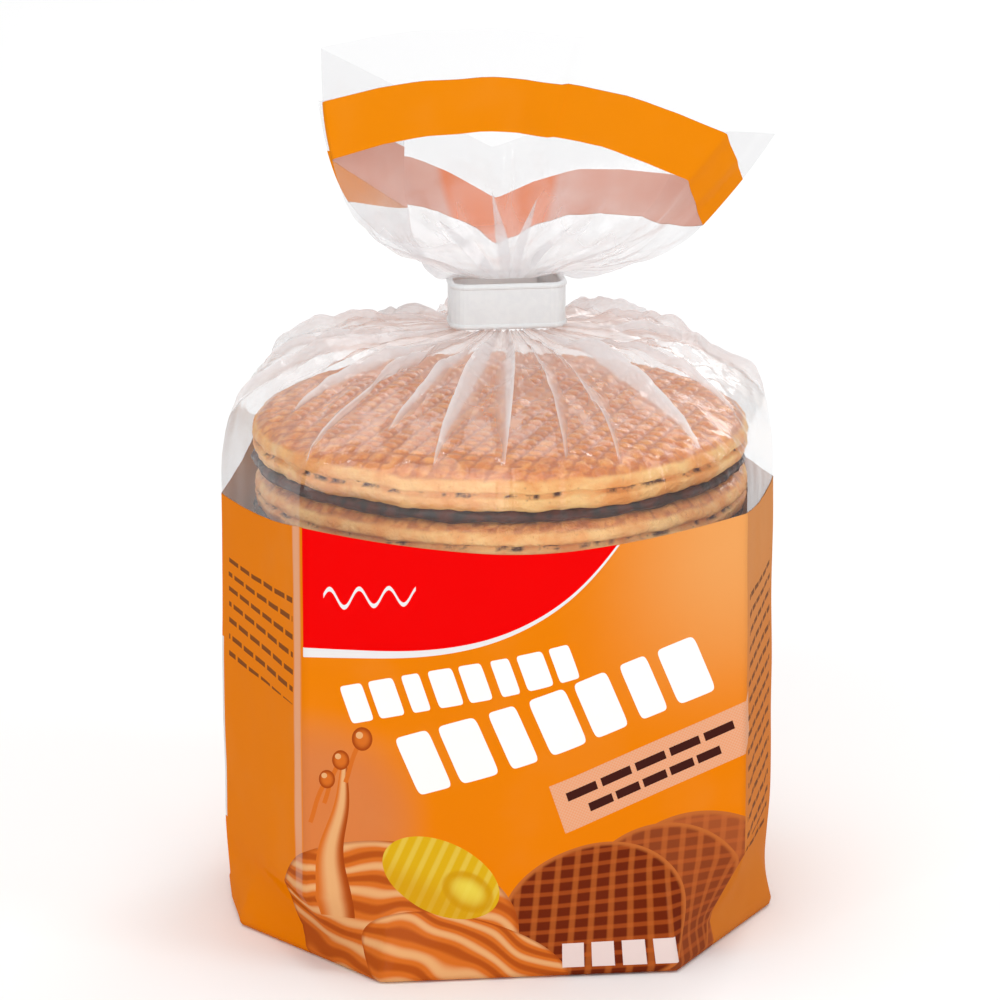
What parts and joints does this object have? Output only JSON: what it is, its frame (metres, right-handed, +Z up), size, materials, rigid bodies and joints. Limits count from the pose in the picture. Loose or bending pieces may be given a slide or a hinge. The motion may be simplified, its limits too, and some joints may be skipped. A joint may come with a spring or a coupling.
{
  "type": "bag of syrup waffles",
  "caption": "Clear block-bottom film bag with a printed sleeve area, filled with a stack of round syrup waffles and gathered shut by a white closure strip.",
  "frame": {"origin": "middle of the bag's footprint, on the surface it stands on", "axes": "+Z up, from the foot to the open fan of film above the strip; the printed front panel faces -Y"},
  "size_m": [0.1056, 0.0981, 0.1742],
  "materials": {
    "bag_film": "gloss",
    "white_plastic": "satin",
    "clear_film": "gloss, see-through",
    "print": "ink under gloss film",
    "waffle": "baked and browned",
    "syrup": "sticky gloss"
  },
  "bodies": {
    "root": {"bag": "bag_film", "closure_strip": "white_plastic"}
  },
  "joints": []
}
